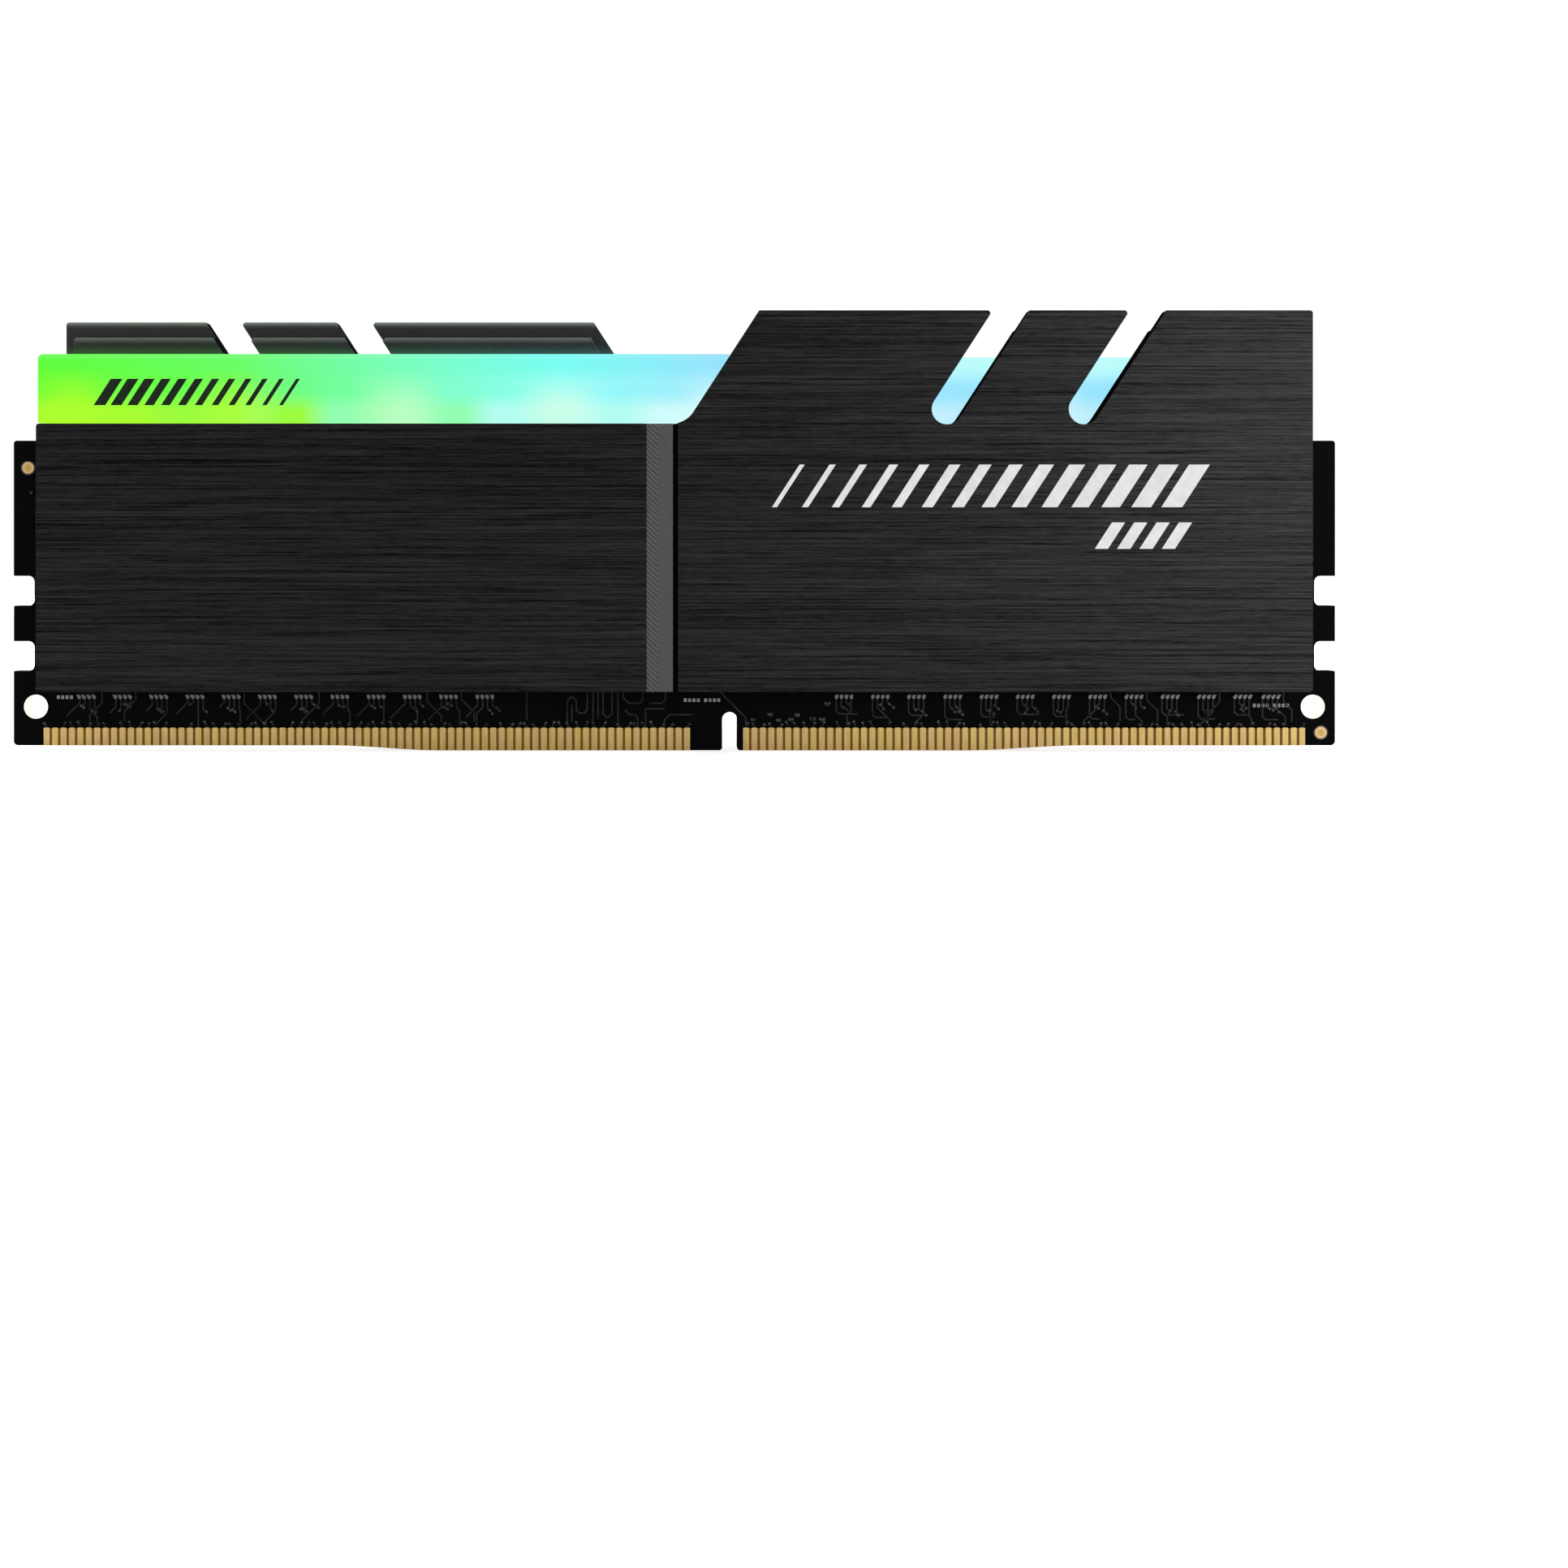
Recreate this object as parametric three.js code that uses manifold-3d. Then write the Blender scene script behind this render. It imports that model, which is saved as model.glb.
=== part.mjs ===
// Desktop memory module with a two-shell heat spreader and a light bar along its top.
// Millimetres. X runs along the module, the front faces -Y, Z points up, away from the socket.
// The origin is the middle of the board's lower edge: X at mid length, Y at mid thickness and Z at
// the edge's lowest level.

import * as THREE from 'three';
import { mergeVertices } from 'three/addons/utils/BufferGeometryUtils.js';
import Module from 'manifold-3d';

const wasm = await Module();
wasm.setup();

// ---- driving dimensions -------------------------------------------------------------------------

const ARC_STEPS = 4;

const board = {
  halfLength: 66.675,
  height: 31.25,
  halfThickness: 0.7,
  lowerCornerRadius: 0.45,
  upperCornerRadius: 0.3,
  endRise: 0.5,
  leftSlope: { outer: -34.6, inner: -23.5 },
  rightSlope: { outer: 41.2, inner: 29.3 },
  notchDepth: 2.1,
  notchHeight: 3.0,
  notchBottoms: [8.0, 14.6],
  notchRadius: 0.6,
  keyCentre: 5.575,
  keyHalfWidth: 0.75,
  keyTop: 3.85,
  keyTopRadius: 0.74,
  keyMouthRadius: 0.3,
  holeRadius: 1.2,
  holeInset: 2.25,
  holeHeight: 4.4,
};

const contact = {
  pitch: 0.85,
  width: 0.6,
  top: 2.3,
  busHeight: 0.12,
  thickness: 0.05,
  left: { first: -63.325, count: 77 },
  right: { first: 7.225, count: 67 },
};

const fiducial = { radius: 0.6, thickness: 0.05, left: [-65.2, 28.5], right: [65.2, 1.8] };

const chip = {
  width: 7.5,
  height: 11,
  centreZ: 17.8,
  ballField: { width: 6.4, height: 9.6, top: 0.95 },
  top: 1.75,
  centres: [-55.8, -42.6, -29.4, -16.2, 16.2, 29.4, 42.6, 55.8],
};

const eeprom = { x: -3.2, z: 13.5, width: 3, height: 2, top: 1.45 };
const controller = { x: 3.6, z: 22.5, width: 4, height: 4, top: 1.5 };

const led = { count: 8, first: -59.2, pitch: 16, width: 3.2, bottom: 29.9, top: 31.05, face: 1.9 };

const array = {
  terminals: 4,
  terminalPitch: 0.5,
  terminalWidth: 0.35,
  terminalDrop: 0.12,
  height: 1.0,
  thickness: 0.45,
  centreZ: 5.69,
  left: { first: -59.23, pitch: 3.648, count: 12 },
  right: { first: 17.08, pitch: 3.65, count: 12 },
  rightLast: 60.08,
};

const shell = {
  halfLength: 62.9,
  bottom: 6.2,
  shoulder: 32.65,
  top: 43.8,
  outerFace: 4.0,
  skinInner: 2.8,
  bandInner: 1.9,
  bandBottom: 31.7,
  bandTop: 42.05,
  bandEndInset: 1.15,
  slope: THREE.MathUtils.degToRad(57),
  slopeFoot: 1.11,
  filletRadius: 2.5,
  tipRadius: 0.3,
  slotRadius: 1.5,
  slotEndZ: 34.07,
  slotEnds: [26.85, 40.35],
};

const channel = { left: -2.8, right: 0.35, depth: 0.5 };
const strip = { left: -2.76, right: -0.15, thickness: 0.35 };

const bar = {
  halfLength: 62.73,
  top: 39.5,
  coreHalfThickness: 1.8,
  coreBottom: 31.4,
  cornerRadius: 0.5,
  gap: 0.06,
};

const pad = {
  halfLength: 60.5,
  front: { bottom: 11, top: 25 },
  rear: { bottom: 8, top: 29 },
  clearance: 0.05,
};

// ---- materials ----------------------------------------------------------------------------------

const finish = {
  board: new THREE.MeshStandardMaterial({ color: 0x0d0d0f, roughness: 0.55, metalness: 0 }),
  gold: new THREE.MeshStandardMaterial({ color: 0xd3b06f, roughness: 0.35, metalness: 1 }),
  package: new THREE.MeshStandardMaterial({ color: 0x1c1c1e, roughness: 0.6, metalness: 0 }),
  ceramic: new THREE.MeshStandardMaterial({ color: 0x2a2a2c, roughness: 0.5, metalness: 0 }),
  lamp: new THREE.MeshStandardMaterial({ color: 0xf2f0e4, roughness: 0.4, metalness: 0 }),
  anodised: new THREE.MeshStandardMaterial({ color: 0x232325, roughness: 0.42, metalness: 1 }),
  accent: new THREE.MeshStandardMaterial({ color: 0x55565a, roughness: 0.6, metalness: 1 }),
  milky: new THREE.MeshStandardMaterial({ color: 0x8ff7c8, roughness: 0.45, metalness: 0 }),
  pad: new THREE.MeshStandardMaterial({ color: 0x8b8f99, roughness: 0.9, metalness: 0 }),
};

// ---- helpers ------------------------------------------------------------------------------------

// Extrudes an X-Z outline from yFront back to yBack.
function plate(outline, yFront, yBack) {
  const geometry = new THREE.ExtrudeGeometry(outline, {
    depth: yBack - yFront,
    bevelEnabled: false,
    curveSegments: ARC_STEPS,
  });
  geometry.rotateX(Math.PI / 2);
  geometry.translate(0, yBack, 0);
  return geometry;
}

function solid(geometry) {
  const bare = geometry.index ? geometry.toNonIndexed() : geometry.clone();
  bare.deleteAttribute('normal');
  bare.deleteAttribute('uv');
  const merged = mergeVertices(bare, 1e-4);
  return new wasm.Manifold(
    new wasm.Mesh({
      numProp: 3,
      vertProperties: new Float32Array(merged.attributes.position.array),
      triVerts: new Uint32Array(merged.index.array),
    }),
  );
}

function geometryOf(manifold) {
  const mesh = manifold.getMesh();
  const geometry = new THREE.BufferGeometry();
  geometry.setAttribute('position', new THREE.BufferAttribute(mesh.vertProperties, 3));
  geometry.setIndex(new THREE.BufferAttribute(mesh.triVerts, 1));
  const flat = geometry.toNonIndexed();
  flat.computeVertexNormals();
  return flat;
}

function join(...geometries) {
  return geometryOf(geometries.map(solid).reduce((all, next) => all.add(next)));
}

function named(name, geometry, material) {
  const mesh = new THREE.Mesh(geometry, material);
  mesh.name = name;
  return mesh;
}

// The same piece on the back, turned half a turn about the vertical axis.
function turned(mesh) {
  mesh.rotation.z = Math.PI;
  return mesh;
}

// Runs an outline round a corner with an arc that touches both of its sides.
function roundCorner(shape, corner, next, radius) {
  const from = shape.currentPoint.clone();
  const into = corner.clone().sub(from).normalize();
  const out = next.clone().sub(corner).normalize();
  const turn = Math.atan2(into.x * out.y - into.y * out.x, into.dot(out));
  const side = Math.sign(turn);
  const start = corner.clone().addScaledVector(into, -radius * Math.tan(Math.abs(turn) / 2));
  const normal = new THREE.Vector2(-into.y, into.x).multiplyScalar(side);
  const centre = start.clone().addScaledVector(normal, radius);
  const startAngle = Math.atan2(start.y - centre.y, start.x - centre.x);
  shape.lineTo(start.x, start.y);
  shape.absarc(centre.x, centre.y, radius, startAngle, startAngle + turn, side < 0);
}

// A closed outline through corners of [x, z, radius], sharp where no radius is given.
function outlineOf(corners) {
  const points = corners.map(([x, z]) => new THREE.Vector2(x, z));
  const start = points[0].clone().lerp(points[1], 0.5);
  const shape = new THREE.Shape();
  shape.moveTo(start.x, start.y);
  const last = corners.length;
  for (let i = 1; i <= last; i++) {
    const corner = points[i % last];
    const next = i === last ? start : points[(i + 1) % last];
    const radius = corners[i % last][2] ?? 0;
    if (radius > 0) roundCorner(shape, corner, next, radius);
    else shape.lineTo(corner.x, corner.y);
  }
  shape.closePath();
  return shape;
}

function rectangle(left, bottom, right, top) {
  return outlineOf([
    [left, bottom],
    [right, bottom],
    [right, top],
    [left, top],
  ]);
}

// ---- board --------------------------------------------------------------------------------------

// Height of the board's lower edge at x: raised at both ends, lowest in the middle.
function lowerEdge(x) {
  const slope = x < 0 ? board.leftSlope : board.rightSlope;
  const along = (x - slope.inner) / (slope.outer - slope.inner);
  const eased = THREE.MathUtils.smoothstep(along, 0, 1);
  return board.endRise * eased;
}

// The corners of one end's latch notches, from the bottom up, on the side given by sign.
function notchCorners(sign) {
  const outer = sign * board.halfLength;
  const inner = sign * (board.halfLength - board.notchDepth);
  return board.notchBottoms.flatMap((bottom) => [
    [outer, bottom],
    [inner, bottom, board.notchRadius],
    [inner, bottom + board.notchHeight, board.notchRadius],
    [outer, bottom + board.notchHeight],
  ]);
}

function slopePoints(from, to) {
  const steps = 6;
  const points = [];
  for (let i = 0; i <= steps; i++) {
    const x = THREE.MathUtils.lerp(from, to, i / steps);
    points.push([x, lowerEdge(x)]);
  }
  return points;
}

function boardGeometry() {
  const keyLeft = board.keyCentre - board.keyHalfWidth;
  const keyRight = board.keyCentre + board.keyHalfWidth;
  const outline = outlineOf([
    [-board.halfLength, board.height, board.upperCornerRadius],
    ...notchCorners(-1).reverse(),
    [-board.halfLength, board.endRise, board.lowerCornerRadius],
    ...slopePoints(board.leftSlope.outer, board.leftSlope.inner),
    [keyLeft, 0, board.keyMouthRadius],
    [keyLeft, board.keyTop, board.keyTopRadius],
    [keyRight, board.keyTop, board.keyTopRadius],
    [keyRight, 0, board.keyMouthRadius],
    ...slopePoints(board.rightSlope.inner, board.rightSlope.outer),
    [board.halfLength, board.endRise, board.lowerCornerRadius],
    ...notchCorners(1),
    [board.halfLength, board.height, board.upperCornerRadius],
  ]);
  for (const sign of [-1, 1]) {
    const hole = new THREE.Path();
    const x = sign * (board.halfLength - board.holeInset);
    hole.absarc(x, board.holeHeight, board.holeRadius, 0, Math.PI, false);
    hole.absarc(x, board.holeHeight, board.holeRadius, Math.PI, 2 * Math.PI, false);
    outline.holes.push(hole);
  }
  return plate(outline, -board.halfThickness, board.halfThickness);
}

// A row of contacts down to the board's edge, tied by the thin plating bar above them.
function contactRow({ first, count }) {
  const half = contact.width / 2;
  const last = first + (count - 1) * contact.pitch;
  const shape = new THREE.Shape();
  shape.moveTo(last + half, contact.top + contact.busHeight);
  shape.lineTo(first - half, contact.top + contact.busHeight);
  for (let i = 0; i < count; i++) {
    const x = first + i * contact.pitch;
    if (i > 0) shape.lineTo(x - half, contact.top);
    shape.lineTo(x - half, lowerEdge(x - half));
    shape.lineTo(x + half, lowerEdge(x + half));
    if (i < count - 1) shape.lineTo(x + half, contact.top);
  }
  shape.closePath();
  return shape;
}

function contacts(name, row, face) {
  const near = face * board.halfThickness;
  const far = face * (board.halfThickness + contact.thickness);
  const geometry = plate(contactRow(row), Math.min(near, far), Math.max(near, far));
  return named(name, geometry, finish.gold);
}

function fiducialMark(name, [x, z]) {
  const geometry = new THREE.CylinderGeometry(fiducial.radius, fiducial.radius, fiducial.thickness, 24);
  geometry.translate(x, -board.halfThickness - fiducial.thickness / 2, z);
  return named(name, geometry, finish.gold);
}

function boardGroup() {
  const group = new THREE.Group();
  group.add(named('pcb', boardGeometry(), finish.board));
  group.add(contacts('contacts_front_left', contact.left, -1));
  group.add(contacts('contacts_front_right', contact.right, -1));
  group.add(contacts('contacts_rear_left', contact.left, 1));
  group.add(contacts('contacts_rear_right', contact.right, 1));
  group.add(fiducialMark('fiducial_left', fiducial.left));
  group.add(fiducialMark('fiducial_right', fiducial.right));
  return group;
}

// ---- components on the board --------------------------------------------------------------------

// A block on the board's front, from the distance base to the distance top from mid thickness.
function raisedBlock(width, height, x, z, top, base = board.halfThickness) {
  return new THREE.BoxGeometry(width, top - base, height).translate(x, -(top + base) / 2, z);
}

function memoryChip(index) {
  const x = chip.centres[index];
  const field = chip.ballField;
  const overlap = 0.1;
  const balls = raisedBlock(field.width, field.height, x, chip.centreZ, field.top + overlap);
  const body = raisedBlock(chip.width, chip.height, x, chip.centreZ, chip.top, field.top);
  return named(`dram_chip_${index + 1}`, join(balls, body), finish.package);
}

function simpleChip(name, { x, z, width, height, top }) {
  return named(name, raisedBlock(width, height, x, z, top), finish.package);
}

function lamp(index) {
  const height = led.top - led.bottom;
  const x = led.first + index * led.pitch;
  const geometry = raisedBlock(led.width, height, x, led.bottom + height / 2, led.face);
  return named(`led_${index + 1}`, geometry, finish.lamp);
}

// Four resistors in one package, with four metal ends standing proud of its lower and upper sides.
function resistorArray(name, x) {
  const halfTerminal = array.terminalWidth / 2;
  const inner = array.height / 2 - array.terminalDrop;
  const outer = array.height / 2;
  const firstCentre = (-(array.terminals - 1) / 2) * array.terminalPitch;
  const lowerSide = [];
  for (let i = 0; i < array.terminals; i++) {
    const centre = firstCentre + i * array.terminalPitch;
    if (i > 0) lowerSide.push([centre - halfTerminal, -inner]);
    lowerSide.push([centre - halfTerminal, -outer], [centre + halfTerminal, -outer]);
    if (i < array.terminals - 1) lowerSide.push([centre + halfTerminal, -inner]);
  }
  const upperSide = lowerSide.map(([dx, dz]) => [-dx, -dz]);
  const outline = outlineOf([...lowerSide, ...upperSide].map(([dx, dz]) => [x + dx, array.centreZ + dz]));
  const front = -board.halfThickness - array.thickness;
  return named(name, plate(outline, front, -board.halfThickness), finish.ceramic);
}

function evenCentres({ first, pitch, count }) {
  return Array.from({ length: count }, (_, i) => first + i * pitch);
}

function resistorRow(side, centres) {
  return centres.map((x, i) => {
    const number = String(i + 1).padStart(2, '0');
    return resistorArray(`resistor_array_${side}_${number}`, x);
  });
}

function componentGroup() {
  const group = new THREE.Group();
  for (let i = 0; i < chip.centres.length; i++) group.add(memoryChip(i));
  group.add(simpleChip('spd_eeprom', eeprom));
  group.add(simpleChip('rgb_controller', controller));
  for (let i = 0; i < led.count; i++) group.add(lamp(i));
  group.add(...resistorRow('left', evenCentres(array.left)));
  group.add(...resistorRow('right', [...evenCentres(array.right), array.rightLast]));
  return group;
}

// ---- heat spreader ------------------------------------------------------------------------------

// X of the slanted edge at height z.
function slopeX(z) {
  return shell.slopeFoot + (z - shell.shoulder) / Math.tan(shell.slope);
}

function skinOutline() {
  return outlineOf([
    [shell.halfLength, shell.bottom, shell.tipRadius],
    [shell.halfLength, shell.top, shell.tipRadius],
    [slopeX(shell.top), shell.top, shell.tipRadius],
    [shell.slopeFoot, shell.shoulder, shell.filletRadius],
    [-shell.halfLength, shell.shoulder, shell.tipRadius],
    [-shell.halfLength, shell.bottom, shell.tipRadius],
  ]);
}

// The thicker band inside the fins, set back from the shell's end and slanted edge.
function bandOutline() {
  const inset = shell.bandEndInset;
  const slantInset = inset / Math.sin(shell.slope);
  return outlineOf([
    [shell.halfLength - inset, shell.bandBottom],
    [shell.halfLength - inset, shell.bandTop, shell.tipRadius],
    [slopeX(shell.bandTop) + slantInset, shell.bandTop, shell.tipRadius],
    [slopeX(shell.bandBottom) + slantInset, shell.bandBottom],
  ]);
}

// One slanted slot, round at its lower end and open above the shell's top.
function slotCutter(endX) {
  const up = new THREE.Vector2(Math.cos(shell.slope), Math.sin(shell.slope));
  const length = (shell.top + 3 - shell.slotEndZ) / up.y;
  const r = shell.slotRadius;
  const side = new THREE.Vector2(up.y, -up.x).multiplyScalar(r);
  const end = new THREE.Vector2(endX, shell.slotEndZ);
  const head = end.clone().addScaledVector(up, length);
  const shape = new THREE.Shape();
  const sideAngle = Math.atan2(side.y, side.x);
  shape.moveTo(end.x + side.x, end.y + side.y);
  shape.lineTo(head.x + side.x, head.y + side.y);
  shape.lineTo(head.x - side.x, head.y - side.y);
  shape.absarc(end.x, end.y, r, sideAngle + Math.PI, sideAngle + 2 * Math.PI, false);
  return plate(shape, -shell.outerFace - 1, -shell.bandInner + 1);
}

function shellGeometry() {
  const overlap = 0.5;
  const skin = solid(plate(skinOutline(), -shell.outerFace, -shell.skinInner));
  const band = solid(plate(bandOutline(), -shell.skinInner - overlap, -shell.bandInner));
  const channelOutline = rectangle(channel.left, shell.bottom - 1, channel.right, shell.shoulder + 1);
  const groove = solid(plate(channelOutline, -shell.outerFace - 1, -shell.outerFace + channel.depth));
  let whole = skin.add(band).subtract(groove);
  for (const endX of shell.slotEnds) whole = whole.subtract(solid(slotCutter(endX)));
  return geometryOf(whole);
}

function accentStrip(name) {
  const floor = -shell.outerFace + channel.depth;
  const outline = rectangle(strip.left, shell.bottom, strip.right, shell.shoulder);
  return named(name, plate(outline, floor - strip.thickness, floor), finish.accent);
}

function shellGroup() {
  const group = new THREE.Group();
  group.add(named('front_heat_spreader', shellGeometry(), finish.anodised));
  group.add(turned(named('rear_heat_spreader', shellGeometry(), finish.anodised)));
  group.add(accentStrip('front_accent_strip'));
  group.add(turned(accentStrip('rear_accent_strip')));
  return group;
}

// ---- light bar ----------------------------------------------------------------------------------

// The lit face beside the raised half of a shell, following its shoulder, fillet and slanted edge.
function faceOutline() {
  const g = bar.gap;
  const slantGap = g / Math.sin(shell.slope);
  const footShift = slantGap - g / Math.tan(shell.slope);
  return outlineOf([
    [-bar.halfLength, bar.top, bar.cornerRadius],
    [-bar.halfLength, shell.shoulder + g],
    [shell.slopeFoot - footShift, shell.shoulder + g, shell.filletRadius - g],
    [slopeX(bar.top) - slantGap, bar.top],
  ]);
}

function lightBar() {
  const r = bar.cornerRadius;
  const core = outlineOf([
    [-bar.halfLength, bar.coreBottom],
    [bar.halfLength, bar.coreBottom],
    [bar.halfLength, bar.top, r],
    [-bar.halfLength, bar.top, r],
  ]);
  const inside = bar.coreHalfThickness / 2;
  const frontFace = plate(faceOutline(), -shell.outerFace, -inside);
  const rearFace = frontFace.clone().rotateZ(Math.PI);
  const body = plate(core, -bar.coreHalfThickness, bar.coreHalfThickness);
  return named('light_diffuser', join(body, frontFace, rearFace), finish.milky);
}

// ---- thermal pads -------------------------------------------------------------------------------

function thermalPad(name, { bottom, top }, yInner, yOuter) {
  const outline = rectangle(-pad.halfLength, bottom, pad.halfLength, top);
  return named(name, plate(outline, Math.min(yInner, yOuter), Math.max(yInner, yOuter)), finish.pad);
}

function padGroup() {
  const group = new THREE.Group();
  const shellSide = shell.skinInner - pad.clearance;
  group.add(thermalPad('front_thermal_pad', pad.front, -chip.top - pad.clearance, -shellSide));
  group.add(thermalPad('rear_thermal_pad', pad.rear, board.halfThickness + pad.clearance, shellSide));
  return group;
}

// ---- whole module -------------------------------------------------------------------------------

const memoryModule = new THREE.Group();
memoryModule.add(boardGroup(), componentGroup(), shellGroup(), lightBar(), padGroup());

export default memoryModule;
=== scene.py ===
"""Looks of a desktop memory module: finer shells, board detail, finishes and a pale studio.

Lengths in this script are millimetres in the object's own frame, except in the studio section.
X runs along the module, the front faces -Y and Z points up out of the socket.
"""

import math
import random

import bmesh
import bpy
from mathutils import Matrix, Vector


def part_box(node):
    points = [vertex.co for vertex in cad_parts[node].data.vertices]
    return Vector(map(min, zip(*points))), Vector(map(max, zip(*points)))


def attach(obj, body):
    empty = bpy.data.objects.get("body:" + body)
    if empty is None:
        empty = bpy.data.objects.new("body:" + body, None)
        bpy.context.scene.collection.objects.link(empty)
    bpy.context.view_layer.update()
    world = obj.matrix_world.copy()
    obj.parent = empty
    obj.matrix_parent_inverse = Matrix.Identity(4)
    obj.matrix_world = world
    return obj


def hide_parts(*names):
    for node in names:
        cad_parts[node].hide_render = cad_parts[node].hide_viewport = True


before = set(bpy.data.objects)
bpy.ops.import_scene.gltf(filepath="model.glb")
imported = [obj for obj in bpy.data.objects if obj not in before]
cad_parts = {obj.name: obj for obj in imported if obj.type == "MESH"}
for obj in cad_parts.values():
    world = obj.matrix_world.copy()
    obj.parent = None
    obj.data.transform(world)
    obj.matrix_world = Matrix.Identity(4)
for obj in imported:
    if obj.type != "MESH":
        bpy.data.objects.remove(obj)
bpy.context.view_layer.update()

# ---- dimensions -----------------------------------------------------------------------------------

# One millimetre in the metres that Blender uses.
MM = 0.001
ROOT = "root"
ARC_STEPS = 12
CIRCLE_STEPS = 48
# How far the drill reaches to both sides of the board's middle, and the channel's cutter past the shell.
DRILL_REACH = 2.0
CUT_MARGIN = 2.0
# Surfaces closer than this count as the same one.
TOLERANCE = 0.01

# Widths of the softened edges, and the angle from which an edge is softened.
# The shells' and bands' have to stay narrower than the fins' BLUNT_RADIUS.
BOARD_EDGE = 0.05
CONTACT_EDGE = 0.012
ARRAY_EDGE = 0.03
SHELL_EDGE = 0.13
BAND_EDGE = 0.12
BAR_EDGE = 0.12
PART_EDGE = 0.05
THERMAL_PAD_EDGE = 0.15
SHARP_ANGLE = math.radians(30)

BOARD_HALF = 66.675
BOARD_TOP = 31.25
BOARD_FACE = 0.7
END_RISE = 0.5
LEFT_SLOPE = (-34.6, -23.5)
RIGHT_SLOPE = (41.2, 29.3)
NOTCH_DEPTH = 2.1
NOTCH_HEIGHT = 3.0
NOTCH_BOTTOMS = (8.0, 14.6)
NOTCH_RADIUS = 0.6
KEY_CENTRE = 5.575
KEY_HALF = 0.75
KEY_TOP = 3.85
HOLE_X = BOARD_HALF - 2.25
HOLE_Z = 4.4
HOLE_RADIUS = 1.2
BOARD_CORNER = 0.3
LOWER_CORNER = 0.45

PAD_PITCH = 0.85
PAD_WIDTH = 0.6
PAD_TOP = 2.3
PAD_THICKNESS = 0.045
PAD_CORNER = 0.1
# Each side's first contact and its number of contacts.
PAD_ROWS = {"left": (-63.325, 77), "right": (7.225, 67)}
LAMINATE_TOP = PAD_TOP - 0.1
LAMINATE_THICKNESS = 0.008
LAMINATE_STEPS = 60

TRACK_SEED = 5
TRACK_WIDTH = 0.13
TRACK_THICKNESS = 0.03
VIA_RADIUS = 0.14
VIA_THICKNESS = 0.035
# Tracks in the middle of the board that go on under the shells end at this height.
HIDDEN_Z = 7.2
# Upper and lower end of the tracks that pass an array.
PASSING_TOP = 7.0
PASSING_FOOT = 2.9
# Shares of the contacts that have a via, of an array's vias that have a second one, and of the arrays with
# a passing track.
CONTACT_SHARE = 0.8
TWIN_SHARE = 0.6
PASSING_SHARE = 0.45
# The forks of vias between the key notch and the right row of arrays: X and lower end of each.
KEY_VIAS = (
    (7.95, 2.85), (9.65, 3.35), (10.5, 2.8), (11.75, 2.85),
    (12.4, 3.3), (13.95, 2.85), (14.9, 2.8), (15.45, 4.4),
)
LONE_VIA = (-64.9, 26.0)

# Left end and lower edge of each group of printed blocks.
PRINT_GROUPS = ((-62.3, 5.19), (0.95, 4.88), (3.0, 4.88), (58.35, 4.35), (60.4, 4.35))
PRINT_BLOCKS = 4
PRINT_PITCH = 0.44
PRINT_WIDTH = 0.3
PRINT_HEIGHT = 0.36
PRINT_CORNER = 0.05
PRINT_THICKNESS = 0.015

# The bare ring round an alignment disc and the disc's yellower centre, as shares of its radius.
DISC_RING = 1.22
DISC_MIDDLE = 0.55
RING_THICKNESS = 0.01
MIDDLE_PROUD = 0.004
MIDDLE_STEPS = 32

# Each side's first array, the step between arrays and their number. The right row has one more, closer by.
ARRAY_ROWS = {"left": (-59.23, 3.648, 12), "right": (17.08, 3.65, 12)}
ARRAY_LAST = 60.08
BODY_BOTTOM = 5.54
BODY_TOP = 6.15
ARRAY_THICKNESS = 0.45
ARRAY_HALF_WIDTH = 0.925
TERMINAL_PITCH = 0.5
TERMINALS = 4
TERMINAL_HALF_WIDTH = 0.17
TERMINAL_WRAP = 0.16
# How far the tinned ends stand out above, below and in front of the body, and stay off the board.
TERMINAL_PROUD = 0.04
TERMINAL_FACE_PROUD = 0.01
TERMINAL_LIFT = 0.02
SOLDER_FOOT = 5.2
SOLDER_HALF_FOOT = 0.13
SOLDER_HALF_TOP = 0.21
SOLDER_THICKNESS = 0.2

SHELL_HALF = 62.9
SHELL_BOTTOM = 6.2
SHOULDER = 32.65
SHELL_TOP = 43.8
SHELL_FACE = 4.0
SKIN_INNER = 2.8
BAND_INNER = 1.9
BAND_BOTTOM = 31.7
BAND_TOP = 42.05
BAND_INSET = 1.15
SLOPE = math.radians(57)
SLOPE_FOOT = 1.11
FILLET = 2.5
TIP_RADIUS = 0.3
BLUNT_RADIUS = 0.15
SLOT_RADIUS = 1.5
SLOT_END_Z = 34.07
SLOT_END_XS = (26.85, 40.35)
CHANNEL = (-2.8, 0.35)
CHANNEL_DEPTH = 0.5

BAR_HALF = 62.73
BAR_TOP = 39.5
BAR_CORE_FACE = 1.8
BAR_CORE_BOTTOM = 31.4
BAR_CORNER = 0.5
BAR_GAP = 0.06
LAMP_FIRST = -59.2
LAMP_PITCH = 16.0

# Leaning bars in each mark: number, X and Z of the first, step, its width, what each next one adds, height.
BAR_MARKS = ((12, -57.2, 34.45, 1.66, 1.15, -0.07, 2.6),)
SHELL_MARKS = ((14, 9.6, 24.4, 2.95, 0.5, 0.12, 4.2), (4, 41.4, 20.3, 2.2, 1.3, 0.0, 2.6))
MARK_THICKNESS = 0.012

# The number of memory packages, and of light emitting diodes.
CHIPS = 8

# ---- outlines -------------------------------------------------------------------------------------


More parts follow.
